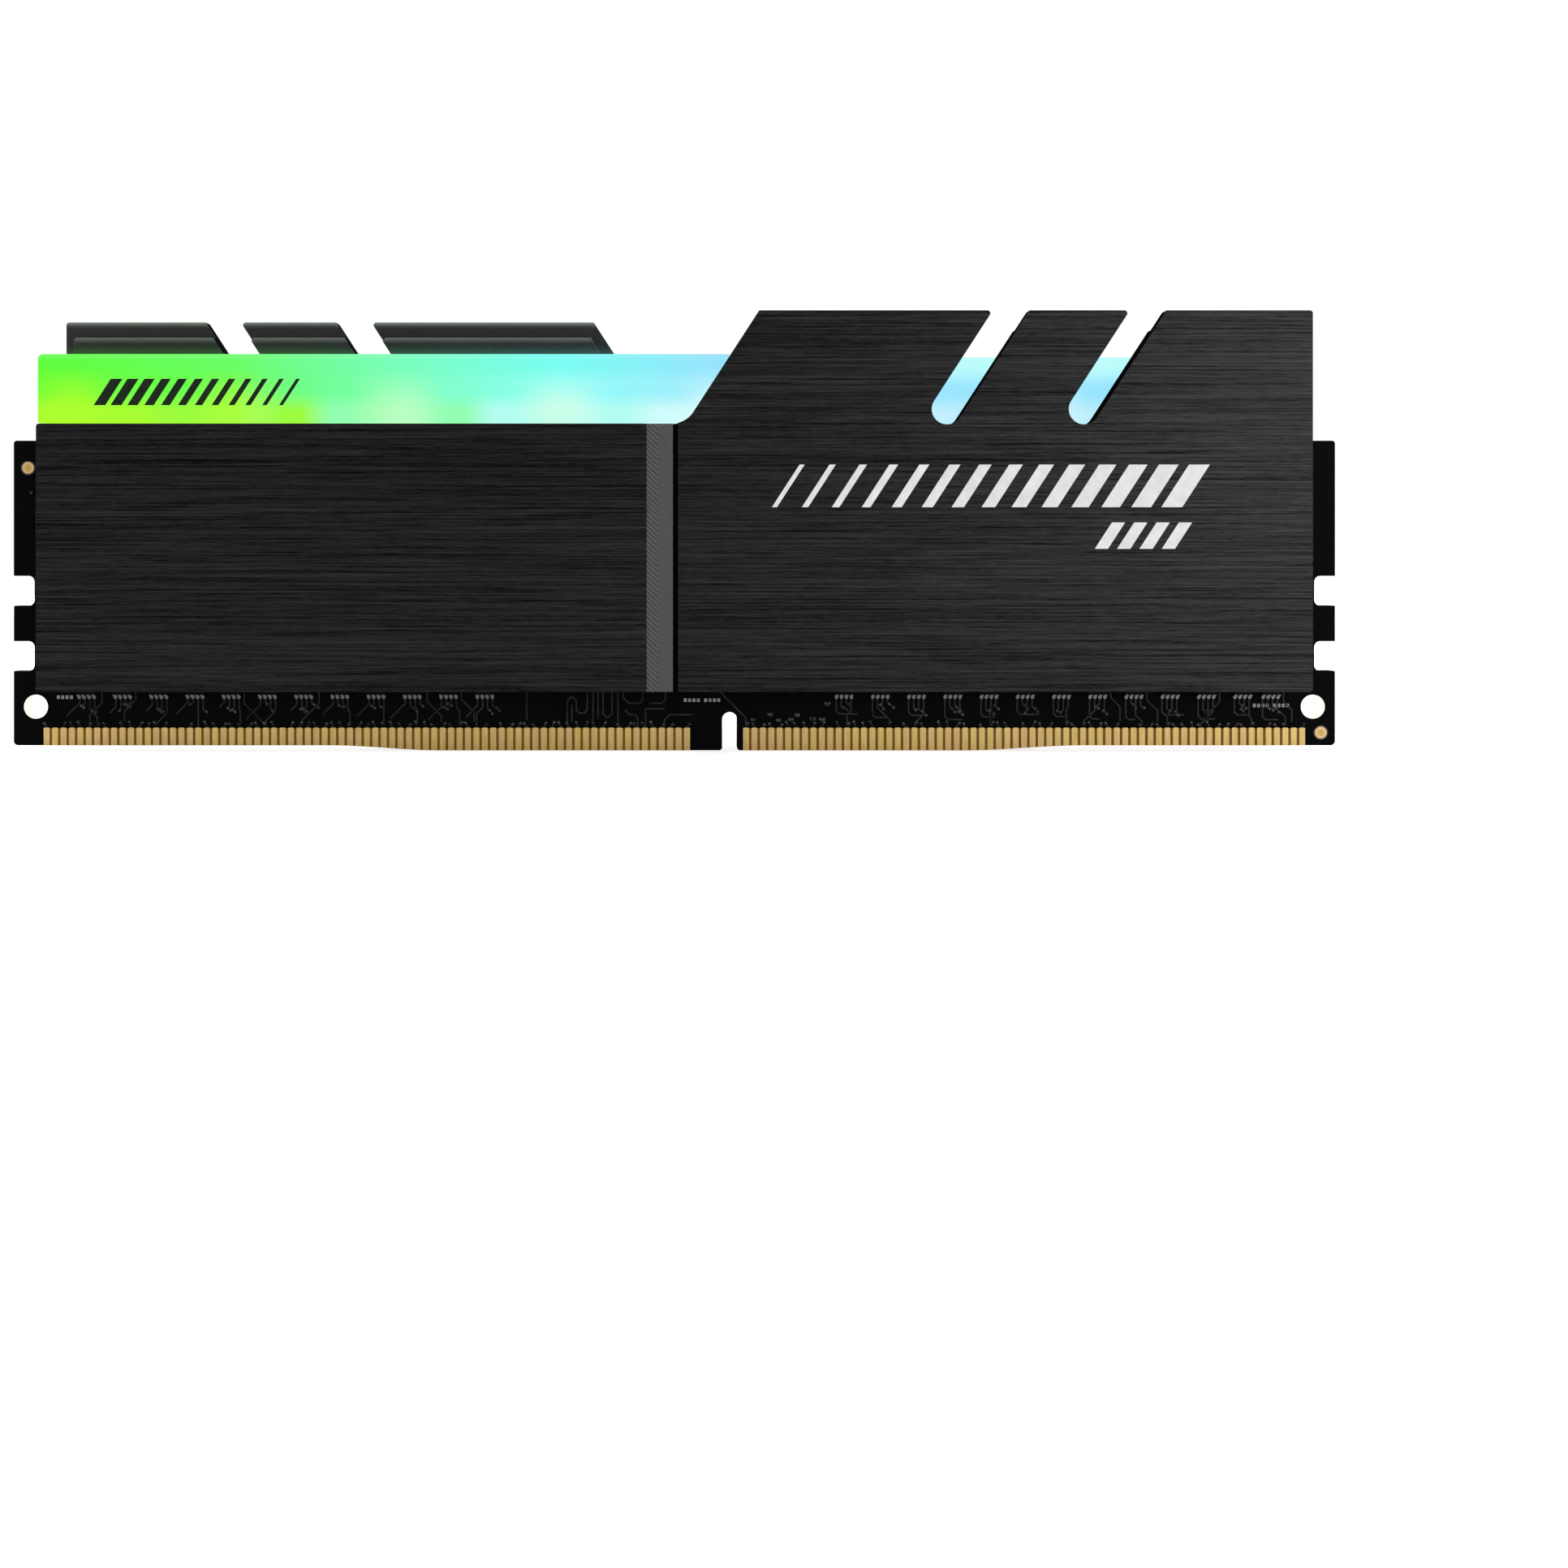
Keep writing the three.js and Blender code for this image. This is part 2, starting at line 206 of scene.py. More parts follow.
def rounded(corners, steps=ARC_STEPS):
    """Points round a closed outline of (x, z) or (x, z, radius) corners."""
    points = []
    count = len(corners)
    for i, spec in enumerate(corners):
        corner = Vector(spec[:2])
        radius = spec[2] if len(spec) > 2 else 0
        if radius == 0:
            points.append(tuple(corner))
            continue
        back = (Vector(corners[i - 1][:2]) - corner).normalized()
        ahead = (Vector(corners[(i + 1) % count][:2]) - corner).normalized()
        half = back.angle(ahead) / 2
        centre = corner + (back + ahead).normalized() * (radius / math.sin(half))
        first = corner + back * (radius / math.tan(half)) - centre
        last = corner + ahead * (radius / math.tan(half)) - centre
        start = math.atan2(first.y, first.x)
        sweep = (math.atan2(last.y, last.x) - start + math.pi) % math.tau - math.pi
        points += arc(centre, radius, start, sweep, steps)
    return points


def arc(centre, radius, start, sweep, steps):
    """Points along an arc, both ends included."""
    turns = [start + sweep * i / steps for i in range(steps + 1)]
    return [(centre[0] + radius * math.cos(t), centre[1] + radius * math.sin(t)) for t in turns]


def circle(centre, radius, steps=CIRCLE_STEPS):
    """Points round a whole circle."""
    return arc(centre, radius, 0, math.tau, steps)[:-1]


def rectangle(left, bottom, right, top, radius=0.0):
    """A rectangle's outline, its corners rounded if a radius is given."""
    corners = [(left, bottom), (right, bottom), (right, top), (left, top)]
    return rounded([(x, z, radius) for x, z in corners], 4)


def slanted(left, bottom, width, height):
    """An upright bar that leans like the fins' edges."""
    lean = height / math.tan(SLOPE)
    top = bottom + height
    return [(left, bottom), (left + width, bottom), (left + width + lean, top), (left + lean, top)]


def lower_edge(x):
    """Height of the board's lower edge: raised at both ends, lowest in the middle."""
    outer, inner = LEFT_SLOPE if x < 0 else RIGHT_SLOPE
    t = min(1.0, max(0.0, (x - inner) / (outer - inner)))
    return END_RISE * t * t * (3 - 2 * t)


def slope_x(z):
    """X of the shell's slanted edge at height z."""
    return SLOPE_FOOT + (z - SHOULDER) / math.tan(SLOPE)


# ---- mesh helpers ---------------------------------------------------------------------------------


def add_plate(bm, points, y_front, y_back, slot=0):
    """Adds one closed plate with a material slot: an X-Z outline from y_front back to y_back."""
    front = [bm.verts.new((x * MM, y_front * MM, z * MM)) for x, z in points]
    back = [bm.verts.new((x * MM, y_back * MM, z * MM)) for x, z in points]
    faces = [bm.faces.new(front), bm.faces.new(back[::-1])]
    for i in range(len(points)):
        j = (i + 1) % len(points)
        faces.append(bm.faces.new((front[j], front[i], back[i], back[j])))
    bmesh.ops.recalc_face_normals(bm, faces=faces)
    for face in faces:
        face.material_index = slot


def mesh_object(name, bm, turned=False):
    """A scene object from a bmesh, which it frees. Turned puts it on the back, half a turn round Z."""
    if turned:
        bm.transform(Matrix.Rotation(math.pi, 4, "Z"))
    mesh = bpy.data.meshes.new(name)
    bm.to_mesh(mesh)
    bm.free()
    obj = bpy.data.objects.new(name, mesh)
    bpy.context.scene.collection.objects.link(obj)
    return obj


def plate_object(name, points, y_front, y_back, turned=False):
    """A scene object that is one plate."""
    bm = bmesh.new()
    add_plate(bm, points, y_front, y_back)
    return mesh_object(name, bm, turned)


def cut_or_join(obj, other, operation):
    """Applies a boolean with another object, and removes that object."""
    modifier = obj.modifiers.new("boolean", "BOOLEAN")
    modifier.operation = operation
    modifier.solver = "EXACT"
    modifier.object = other
    graph = bpy.context.evaluated_depsgraph_get()
    made = bpy.data.meshes.new_from_object(obj.evaluated_get(graph))
    obj.modifiers.clear()
    obj.data = made
    bpy.data.objects.remove(other)


def soften(obj, width, segments=3):
    """Rounds an object's sharp edges and shades it smooth between them."""
    mesh = obj.data
    mesh.polygons.foreach_set("use_smooth", [True] * len(mesh.polygons))
    mesh.set_sharp_from_angle(angle=SHARP_ANGLE)
    modifier = obj.modifiers.new("edges", "BEVEL")
    modifier.width = width * MM
    modifier.segments = segments
    modifier.limit_method = "ANGLE"
    modifier.angle_limit = SHARP_ANGLE
    modifier.harden_normals = True
    modifier.miter_outer = "MITER_ARC"


def finish_piece(obj, materials, replaces=()):
    """Gives a piece its materials, its body and the nodes it stands for."""
    for material in materials:
        obj.data.materials.append(material)
    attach(obj, ROOT)
    if replaces:
        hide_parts(*replaces)


# ---- material helpers -----------------------------------------------------------------------------


def srgb(red, green, blue):
    """Linear colour from display values of 0 to 255."""
    parts = [v / 255 for v in (red, green, blue)]
    return (*[v / 12.92 if v <= 0.04045 else ((v + 0.055) / 1.055) ** 2.4 for v in parts], 1.0)


# Most of a noise's values lie between these.
NOISE_LOW = 0.3
NOISE_HIGH = 0.7


class Finish:
    """A new material, with short calls that add and join its nodes."""

    def __init__(self, name, **values):
        self.material = bpy.data.materials.new(name)
        self.material.use_nodes = True
        self.tree = self.material.node_tree
        self.shader = self.tree.nodes["Principled BSDF"]
        for socket, value in values.items():
            self.set(socket.replace("_", " "), value)

    def set(self, socket, value):
        """Sets or links one of the shader's sockets, named in any case."""
        found = next(s for s in self.shader.inputs if s.name.lower() == socket.lower())
        self.put(found, value)

    def put(self, socket, value):
        """Links a socket to an output, or sets its value."""
        if isinstance(value, bpy.types.NodeSocket):
            self.tree.links.new(value, socket)
        else:
            socket.default_value = value

    def node(self, kind, inputs=None, **settings):
        """Adds a node, with its inputs by name or number."""
        made = self.tree.nodes.new("ShaderNode" + kind)
        for key, value in settings.items():
            setattr(made, key, value)
        for key, value in (inputs or {}).items():
            self.put(made.inputs[key], value)
        return made

    def place(self, scale=(1, 1, 1)):
        """The piece's own coordinates, in metres times scale."""
        coordinates = self.node("TexCoord").outputs["Object"]
        return self.node("Mapping", {"Vector": coordinates, "Scale": scale}).outputs[0]

    def millimetres(self):
        """X, Y and Z on the piece, in millimetres."""
        return self.node("SeparateXYZ", {0: self.place((1000, 1000, 1000))}).outputs

    def noise(self, scale, detail, roughness=0.55):
        """Noise from 0 to 1 with the given waves per metre along X, Y and Z."""
        inputs = {"Vector": self.place(scale), "Scale": 1.0, "Detail": detail, "Roughness": roughness}
        return self.node("TexNoise", inputs).outputs[0]

    def math(self, operation, first, second=0.0):
        """One sum."""
        return self.node("Math", {0: first, 1: second}, operation=operation).outputs[0]

    def spread(self, value, low, high, to_low=0.0, to_high=1.0, smooth=False):
        """Maps a value from one range to another, held at its ends."""
        inputs = {"Value": value, "From Min": low, "From Max": high, "To Min": to_low, "To Max": to_high}
        kind = "SMOOTHSTEP" if smooth else "LINEAR"
        return self.node("MapRange", inputs, interpolation_type=kind).outputs[0]

    def mix(self, factor, first, second):
        """A mix of two colours."""
        made = self.node("Mix", data_type="RGBA")
        for index, value in ((0, factor), (6, first), (7, second)):
            self.put(made.inputs[index], value)
        return made.outputs[2]

    def ramp(self, factor, stops):
        """A colour ramp with (place, colour) stops."""
        made = self.node("ValToRGB", {"Fac": factor})
        elements = made.color_ramp.elements
        while len(elements) < len(stops):
            elements.new(0.5)
        for element, (place, colour) in zip(elements, stops):
            element.position = place
            element.color = colour
        return made.outputs[0]

    def roughness(self, tone, low, high):
        """Roughness from low to high that follows a noise."""
        self.set("Roughness", self.spread(tone, NOISE_LOW, NOISE_HIGH, low, high))

    def bump(self, height, distance, strength):
        """Surface relief from a height of 0 to 1, distance millimetres deep."""
        inputs = {"Height": height, "Distance": distance * MM, "Strength": strength}
        self.set("Normal", self.node("Bump", inputs).outputs[0])


# ---- materials ------------------------------------------------------------------------------------


# Each lamp's colours from the left end: over the lamp, beside it, halfway up the bar and at its top.
LAMPS = (
    ((172, 254, 40), (168, 252, 44), (108, 254, 52), (94, 253, 60)),
    ((170, 254, 58), (156, 252, 58), (104, 252, 84), (104, 252, 100)),
    ((188, 255, 196), (146, 254, 176), (122, 254, 182), (120, 252, 186)),
    ((206, 255, 232), (178, 253, 240), (140, 254, 246), (118, 252, 242)),
    ((224, 253, 253), (206, 251, 252), (164, 232, 254), (150, 225, 252)),
    ((214, 246, 253), (194, 239, 253), (155, 229, 254), (182, 250, 252)),
    ((214, 246, 252), (190, 237, 251), (153, 229, 253), (188, 252, 250)),
    ((210, 244, 252), (186, 235, 251), (150, 227, 253), (184, 250, 250)),
)
OVER, BESIDE, HALFWAY, AT_TOP = range(4)
# Each lamp keeps its colour beside it for this far to both sides.
LAMP_HOLD = 6.6
# Heights on the bar where the colours beside the lamp, halfway up and at the top are full.
NEAR_Z = 33.6
HALF_Z = 35.9
FAR_Z = 38.6
FAR_START = HALF_Z + 0.4
# The pool of light over each lamp.
POOL_RADIUS = 5.5
POOL_TOP = 38.5
# A painted highlight: the paler line along the bar's top edge.
RIM_DEPTH = 0.9
RIM_HIGHLIGHT = 0.06
# The bar's light painted on the shells' inner sides as a glow: where it ends and is full above, where it
# ends below, how fast it fades upwards and how strong it is.
GLOW_TOP = 42.0
GLOW_FULL = BAR_TOP - 0.3
GLOW_FOOT = 29.0
GLOW_FADE = 2.0
GLOW = 0.22


def lamp_stops(colours, hold):
    """Ramp stops along the bar that keep each lamp's colour for hold millimetres to both sides."""
    stops = []
    for i, colour in enumerate(colours):
        for offset in sorted({-hold, hold}):
            place = (LAMP_FIRST + i * LAMP_PITCH + offset + BAR_HALF) / (2 * BAR_HALF)
            stops.append((min(1.0, max(0.0, place)), srgb(*colour)))
    return sorted(stops)


def lamp_ramp(f, x, column, hold=0):
    """One column of LAMPS as a colour ramp along x."""
    along = f.spread(x, -BAR_HALF, BAR_HALF)
    return f.ramp(along, lamp_stops([lamp[column] for lamp in LAMPS], hold))


# What the hairlines are made of: long hairs, shorter strands and grain.
HAIR_SHARE = 0.42
STRAND_SHARE = 0.34
GRAIN_SHARE = 0.24


def brushed_metal():
    """Black anodised aluminium with fine, slightly grainy hairlines along X."""
    f = Finish("black_anodised", metallic=1.0)
    hairs = f.math("MULTIPLY", f.noise((45, 900, 8200), 2.0, 0.6), HAIR_SHARE)
    strands = f.math("MULTIPLY", f.noise((150, 900, 8800), 3.0, 0.65), STRAND_SHARE)
    grain = f.math("MULTIPLY", f.noise((900, 1100, 8500), 3.0, 0.7), GRAIN_SHARE)
    lines = f.math("ADD", f.math("ADD", hairs, strands), grain)
    f.set("Base Color", f.mix(f.spread(lines, 0.39, 0.61), srgb(16, 16, 16), srgb(59, 59, 60)))
    f.set("Roughness", f.spread(lines, 0.38, 0.62, 0.38, 0.48))
    f.bump(lines, 0.01, 0.3)
    return f.material


def inner_metal(name, top, depth, power, edge_highlight):
    """The shells' inner side: matt black, with the bar's light painted on as a glow and a painted highlight
    just below its top edge.
    """
    f = Finish(name, specular_ior_level=0.52)
    tone = f.noise((1800, 1800, 2600), 3.0)
    x, _, z = f.millimetres()
    # Painted highlight: the colour turns pale just below the top edge, in place of light on a rounded edge.
    edge = f.math("POWER", f.spread(z, top - depth, top), power)
    black = f.mix(tone, srgb(14, 14, 15), srgb(26, 26, 27))
    f.set("Base Color", f.mix(edge, black, edge_highlight))
    f.roughness(tone, 0.38, 0.48)
    f.bump(tone, 0.01, 0.3)
    # Painted glow: the bar's light painted on as emission that fades away above and below the bar.
    above = f.spread(z, GLOW_FULL, GLOW_TOP, 1.0, 0.0, smooth=True)
    below = f.spread(z, GLOW_FOOT, BAR_CORE_BOTTOM, 0.0, 1.0, smooth=True)
    level = f.math("MULTIPLY", f.math("MULTIPLY", f.math("POWER", above, GLOW_FADE), below), GLOW)
    f.set("Emission Color", f.mix(level, (0, 0, 0, 1), lamp_ramp(f, x, AT_TOP)))
    f.set("Emission Strength", 1.0)
    return f.material


def shade_black():
    """Dead black with no reflection, for painted shade in the channel beside the insert and on the slots'
    cut walls.
    """
    f = Finish("shade_black", specular_ior_level=0.0)
    tone = f.noise((1500, 1500, 1500), 3.0)
    f.set("Base Color", f.mix(tone, srgb(5, 5, 5), srgb(14, 14, 14)))
    f.roughness(tone, 0.6, 0.8)
    f.bump(tone, 0.03, 0.5)
    return f.material


# The ridges lie on the part of each insert that is further than this from the module's middle.
RIDGE_START = 1.68
RIDGE_FADE = 0.05
RIDGE_PITCH = 0.5
RIDGE_SHARE = 0.7
BLAST_SHARE = 0.6


def blasted_metal():
    """Grey anodised insert: finely blasted, with slanting ridges down its left side."""
    f = Finish("grey_insert", metallic=1.0)
    fine = f.noise((4500, 4500, 4500), 3.0)
    x, _, z = f.millimetres()
    waves = f.math("SINE", f.math("MULTIPLY", f.math("ADD", x, z), math.tau / RIDGE_PITCH))
    outside = f.math("ABSOLUTE", x)
    band = f.spread(outside, RIDGE_START - RIDGE_FADE, RIDGE_START + RIDGE_FADE, smooth=True)
    ridges = f.math("MULTIPLY", band, f.math("SUBTRACT", f.spread(waves, -1.0, 1.0), 0.5))
    tone = f.math("ADD", f.math("MULTIPLY", fine, BLAST_SHARE), f.math("MULTIPLY", ridges, RIDGE_SHARE))
    height = f.spread(tone, -0.2, 0.8)
    f.set("Base Color", f.mix(height, srgb(66, 66, 67), srgb(118, 118, 119)))
    f.roughness(fine, 0.5, 0.62)
    f.bump(height, 0.03, 0.5)
    return f.material


def lit_acrylic():
    """Milky acrylic lit from below: colours run along the bar, with a pool of light over each lamp and a
    painted highlight along its top edge.
    """
    f = Finish("lit_acrylic", base_color=(0.004, 0.004, 0.004, 1), roughness=0.35)
    f.set("Specular IOR Level", 0.08)
    f.set("Emission Strength", 1.0)
    x, _, z = f.millimetres()
    over = lamp_ramp(f, x, OVER)
    beside = lamp_ramp(f, x, BESIDE, LAMP_HOLD)
    halfway = lamp_ramp(f, x, HALFWAY)
    far = lamp_ramp(f, x, AT_TOP)
    turns = f.math("DIVIDE", f.math("SUBTRACT", x, LAMP_FIRST - LAMP_PITCH / 2), LAMP_PITCH)
    offset = f.math("ABSOLUTE", f.math("SUBTRACT", f.math("FRACT", turns), 0.5))
    across = f.spread(offset, 0.0, POOL_RADIUS / LAMP_PITCH, 1.0, 0.0, smooth=True)
    rise = f.spread(z, NEAR_Z, POOL_TOP, 1.0, 0.0, smooth=True)
    cloud = f.spread(f.noise((110, 110, 260), 2.0), NOISE_LOW, NOISE_HIGH, 0.75, 1.0)
    pool = f.math("MULTIPLY", f.math("MULTIPLY", across, rise), cloud)
    lower = f.mix(f.spread(z, NEAR_Z, HALF_Z, smooth=True), beside, halfway)
    mixed = f.mix(f.spread(z, FAR_START, FAR_Z, smooth=True), lower, far)
    colour = f.mix(pool, mixed, over)
    # Painted highlight: the colour turns a little whiter at the bar's top edge.
    rim_highlight = f.spread(z, BAR_TOP - RIM_DEPTH, BAR_TOP, 0.0, RIM_HIGHLIGHT, smooth=True)
    f.set("Emission Color", f.mix(rim_highlight, colour, (1, 1, 1, 1)))
    f.bump(f.noise((900, 900, 900), 2.0), 0.01, 0.2)
    return f.material


def solder_mask():
    """Black board lacquer with the faint weave of the glass cloth under it."""
    f = Finish("solder_mask", specular_ior_level=0.015)
    weave = f.math("MULTIPLY", f.noise((2600, 400, 700), 2.0), f.noise((700, 400, 2600), 2.0))
    mottle = f.noise((350, 350, 350), 3.0)
    f.set("Base Color", f.mix(mottle, srgb(6, 6, 7), srgb(14, 14, 15)))
    f.roughness(mottle, 0.42, 0.55)
    f.bump(weave, 0.02, 0.25)
    return f.material


def gold_plating(name, plain, other, painted_shade):
    """Gold that differs a little from one contact to the next, with light wear streaks.

    A painted shade darkens it by the given share from the board's left end to its right end.
    """
    f = Finish(name, metallic=1.0)
    x = f.millimetres()[0]
    first = PAD_ROWS["left"][0] - PAD_PITCH / 2
    number = f.math("FLOOR", f.math("DIVIDE", f.math("SUBTRACT", x, first), PAD_PITCH))
    each = f.node("TexWhiteNoise", {"W": number}, noise_dimensions="1D").outputs[0]
    wear = f.spread(f.noise((5200, 2000, 500), 3.0), 0.35, 0.7)
    # Painted shade: darker towards the board's right end.
    painted_right_shade = f.spread(x, -BOARD_HALF, BOARD_HALF, 0.0, painted_shade)
    gold = f.mix(painted_right_shade, f.mix(each, plain, other), (0, 0, 0, 1))
    f.set("Base Color", f.mix(f.math("MULTIPLY", wear, 0.3), gold, srgb(196, 154, 82)))
    f.set("Roughness", f.spread(wear, 0.0, 1.0, 0.46, 0.58))
    f.bump(wear, 0.004, 0.3)
    return f.material


def bare_laminate():
    """Brown resin that shows between the contacts."""
    f = Finish("bare_laminate", specular_ior_level=0.3)
    tone = f.noise((3000, 3000, 900), 3.0)
    f.set("Base Color", f.mix(tone, srgb(112, 70, 0), srgb(146, 98, 6)))
    f.roughness(tone, 0.5, 0.65)
    return f.material


def glass_fibre():
    """Pale woven glass that shows on the walls of the drilled holes, with a faint painted glow."""
    f = Finish("glass_fibre", specular_ior_level=0.3, emission_strength=0.3)
    # Painted glow: the hole walls give off a faint white light.
    f.set("Emission Color", (1, 1, 1, 1))
    layers = f.noise((1500, 7000, 1500), 3.0)
    f.set("Base Color", f.mix(layers, srgb(236, 232, 220), srgb(250, 248, 240)))
    f.roughness(layers, 0.55, 0.7)
    return f.material


def masked_copper(name, dark, light):
    """Copper under the black lacquer, a little lighter than the board."""
    f = Finish(name, specular_ior_level=0.2)
    tone = f.noise((900, 900, 900), 3.0)
    f.set("Base Color", f.mix(f.spread(tone, 0.35, 0.65), dark, light))
    f.roughness(tone, 0.35, 0.5)
    return f.material


def tin():
    """Dull tin-plated ends and solder."""
    f = Finish("tinned_ends", metallic=1.0)
    tone = f.noise((2500, 2500, 2500), 3.0)
    f.set("Base Color", f.mix(tone, srgb(92, 92, 94), srgb(150, 150, 152)))
    f.roughness(tone, 0.35, 0.55)
    f.bump(tone, 0.02, 0.4)
    return f.material


def speckled(name, dark, light, roughness, waves=2200, **values):
    """A moulded or pressed surface with a fine speckle."""
    f = Finish(name, **values)
    tone = f.noise((waves, waves, waves), 4.0)
    f.set("Base Color", f.mix(f.spread(tone, NOISE_LOW, NOISE_HIGH), dark, light))
    f.roughness(tone, roughness - 0.06, roughness + 0.06)
    f.bump(tone, 0.01, 0.4)
    return f.material


ANODISED = brushed_metal()
# Both inner finishes carry a painted highlight along the top edge of the shell or of the band.
INNER = inner_metal("matt_anodised", SHELL_TOP, 0.9, 3.5, srgb(164, 164, 166))
BAND = inner_metal("matt_band", BAND_TOP, 0.6, 1.0, srgb(100, 100, 102))
SHADE_BLACK = shade_black()
INSERT = blasted_metal()
ACRYLIC = lit_acrylic()
MASK = solder_mask()
# The last number is the share of painted shade towards the board's right end.
GOLD = gold_plating("gold_contacts", srgb(255, 226, 140), srgb(255, 218, 154), 0.3)
DISC_GOLD = gold_plating("gold_discs", srgb(240, 208, 152), srgb(240, 207, 154), 0.2)
DISC_CENTRE = gold_plating("gold_disc_centres", srgb(222, 182, 104), srgb(220, 180, 102), 0.2)
LAMINATE = bare_laminate()
FIBRE = glass_fibre()
TRACK = masked_copper("masked_track", srgb(18, 18, 19), srgb(46, 46, 48))
VIA = masked_copper("masked_via", srgb(26, 26, 27), srgb(80, 79, 78))
TIN = tin()
CERAMIC = speckled("black_ceramic", srgb(6, 6, 6), srgb(14, 14, 15), 0.5, specular_ior_level=0.06)
EPOXY = speckled("chip_epoxy", srgb(18, 18, 19), srgb(34, 34, 36), 0.6, specular_ior_level=0.3)
LAMP = speckled("lamp_housing", srgb(226, 224, 214), srgb(244, 242, 234), 0.4)
SILICONE = speckled("silicone_pad", srgb(120, 126, 140), srgb(150, 155, 166), 0.85, waves=1500)
DARK_INK = speckled("dark_ink", srgb(22, 34, 22), srgb(34, 46, 32), 0.6, waves=900, specular_ior_level=0.1)
WHITE_INK = speckled("white_ink", srgb(226, 226, 226), srgb(242, 242, 242), 0.55, waves=900)
GREY_INK = speckled("grey_ink", srgb(120, 120, 122), srgb(168, 168, 170), 0.6, waves=1800)

# ---- board ----------------------------------------------------------------------------------------


def notch_corners(sign):
    """One end's two latch notches, from the bottom up."""
    outer = sign * BOARD_HALF
    inner = sign * (BOARD_HALF - NOTCH_DEPTH)
    corners = []
    for bottom in NOTCH_BOTTOMS:
        top = bottom + NOTCH_HEIGHT
        corners += [(outer, bottom), (inner, bottom, NOTCH_RADIUS), (inner, top, NOTCH_RADIUS), (outer, top)]
    return corners


def edge_run(start, end, steps=16):
    """Points along the board's lower edge from one X to another."""
    xs = [start + (end - start) * i / steps for i in range(steps + 1)]
    return [(x, lower_edge(x)) for x in xs]


def board_outline():
    """The whole board: notched ends, stepped lower edge and key."""
    left, right = KEY_CENTRE - KEY_HALF, KEY_CENTRE + KEY_HALF
    key_top = arc((KEY_CENTRE, KEY_TOP - KEY_HALF), KEY_HALF, math.pi, -math.pi, 2 * ARC_STEPS)
    return rounded(
        [(-BOARD_HALF, BOARD_TOP, BOARD_CORNER)]
        + notch_corners(-1)[::-1]
        + [(-BOARD_HALF, END_RISE, LOWER_CORNER)]
        + edge_run(*LEFT_SLOPE)
        + [(left, 0, BOARD_CORNER)]
        + key_top
        + [(right, 0, BOARD_CORNER)]
        + edge_run(*RIGHT_SLOPE[::-1])
        + [(BOARD_HALF, END_RISE, LOWER_CORNER)]
        + notch_corners(1)
        + [(BOARD_HALF, BOARD_TOP, BOARD_CORNER)]
    )


def make_board():
    """The bare board with its two end holes."""
    obj = plate_object("board", board_outline(), -BOARD_FACE, BOARD_FACE)
    for x in (-HOLE_X, HOLE_X):
        drill = plate_object("drill", circle((x, HOLE_Z), HOLE_RADIUS), -DRILL_REACH, DRILL_REACH)
        cut_or_join(obj, drill, "DIFFERENCE")
    for polygon in obj.data.polygons:
        sideways = abs(polygon.center.x) / MM - HOLE_X
        if math.hypot(sideways, polygon.center.z / MM - HOLE_Z) < HOLE_RADIUS:
            polygon.material_index = 1
    soften(obj, BOARD_EDGE, 2)
    finish_piece(obj, [MASK, FIBRE], ["pcb"])


def pad_outline(x):
    """One contact, down to the board's edge, its upper corners a little rounded."""
    left, right = x - PAD_WIDTH / 2, x + PAD_WIDTH / 2
    foot = [(left, lower_edge(left)), (right, lower_edge(right))]
    return rounded(foot + [(right, PAD_TOP, PAD_CORNER), (left, PAD_TOP, PAD_CORNER)], 3)


def make_contacts(face_name, face):
    """The contacts on one face of the board, and the bare laminate between them."""
    for side, (first, count) in PAD_ROWS.items():
        bm = bmesh.new()
        for i in range(count):
            points = pad_outline(first + i * PAD_PITCH)
            add_plate(bm, points, face * BOARD_FACE, face * (BOARD_FACE + PAD_THICKNESS))
        pads = mesh_object(f"contacts_{face_name}_{side}_gold", bm)
        soften(pads, CONTACT_EDGE, 1)
        finish_piece(pads, [GOLD], [f"contacts_{face_name}_{side}"])
        last = first + (count - 1) * PAD_PITCH
        outline = edge_run(first, last, LAMINATE_STEPS) + [(last, LAMINATE_TOP), (first, LAMINATE_TOP)]
        top = face * (BOARD_FACE + LAMINATE_THICKNESS)
        gap = plate_object(f"laminate_{face_name}_{side}", outline, face * BOARD_FACE, top)
        finish_piece(gap, [LAMINATE])


def add_track(bm, route, face):
    """A raised copper track along an X-Z route, mitred at its bends."""
    points = [Vector(p) for p in route]
    sides = []
    for i, point in enumerate(points):
        into = (point - points[i - 1]).normalized() if i else (points[1] - point).normalized()
        out = (points[i + 1] - point).normalized() if i < len(points) - 1 else into
        along = (into + out).normalized()
        reach = TRACK_WIDTH / 2 / max(0.5, along.dot(into))
        sides.append(Vector((-along.y, along.x)) * reach)
    left = [tuple(p + s) for p, s in zip(points, sides)]
    right = [tuple(p - s) for p, s in zip(points, sides)]
    add_plate(bm, left + right[::-1], face * BOARD_FACE, face * (BOARD_FACE + TRACK_THICKNESS))


def array_centres():
    """X of every resistor array by its side of the board."""
    centres = {}
    for side, (first, pitch, count) in ARRAY_ROWS.items():
        centres[side] = [first + i * pitch for i in range(count)]
    centres["right"].append(ARRAY_LAST)
    return centres


def terminal_x(centre, number):
    """X of one of an array's terminals, counted from the left."""
    return centre + (number - (TERMINALS - 1) / 2) * TERMINAL_PITCH


def nearest_pad(x):
    """X of the contact nearest to x."""
    first, count = PAD_ROWS["left"] if x < KEY_CENTRE else PAD_ROWS["right"]
    number = min(count - 1, max(0, round((x - first) / PAD_PITCH)))
    return first + number * PAD_PITCH


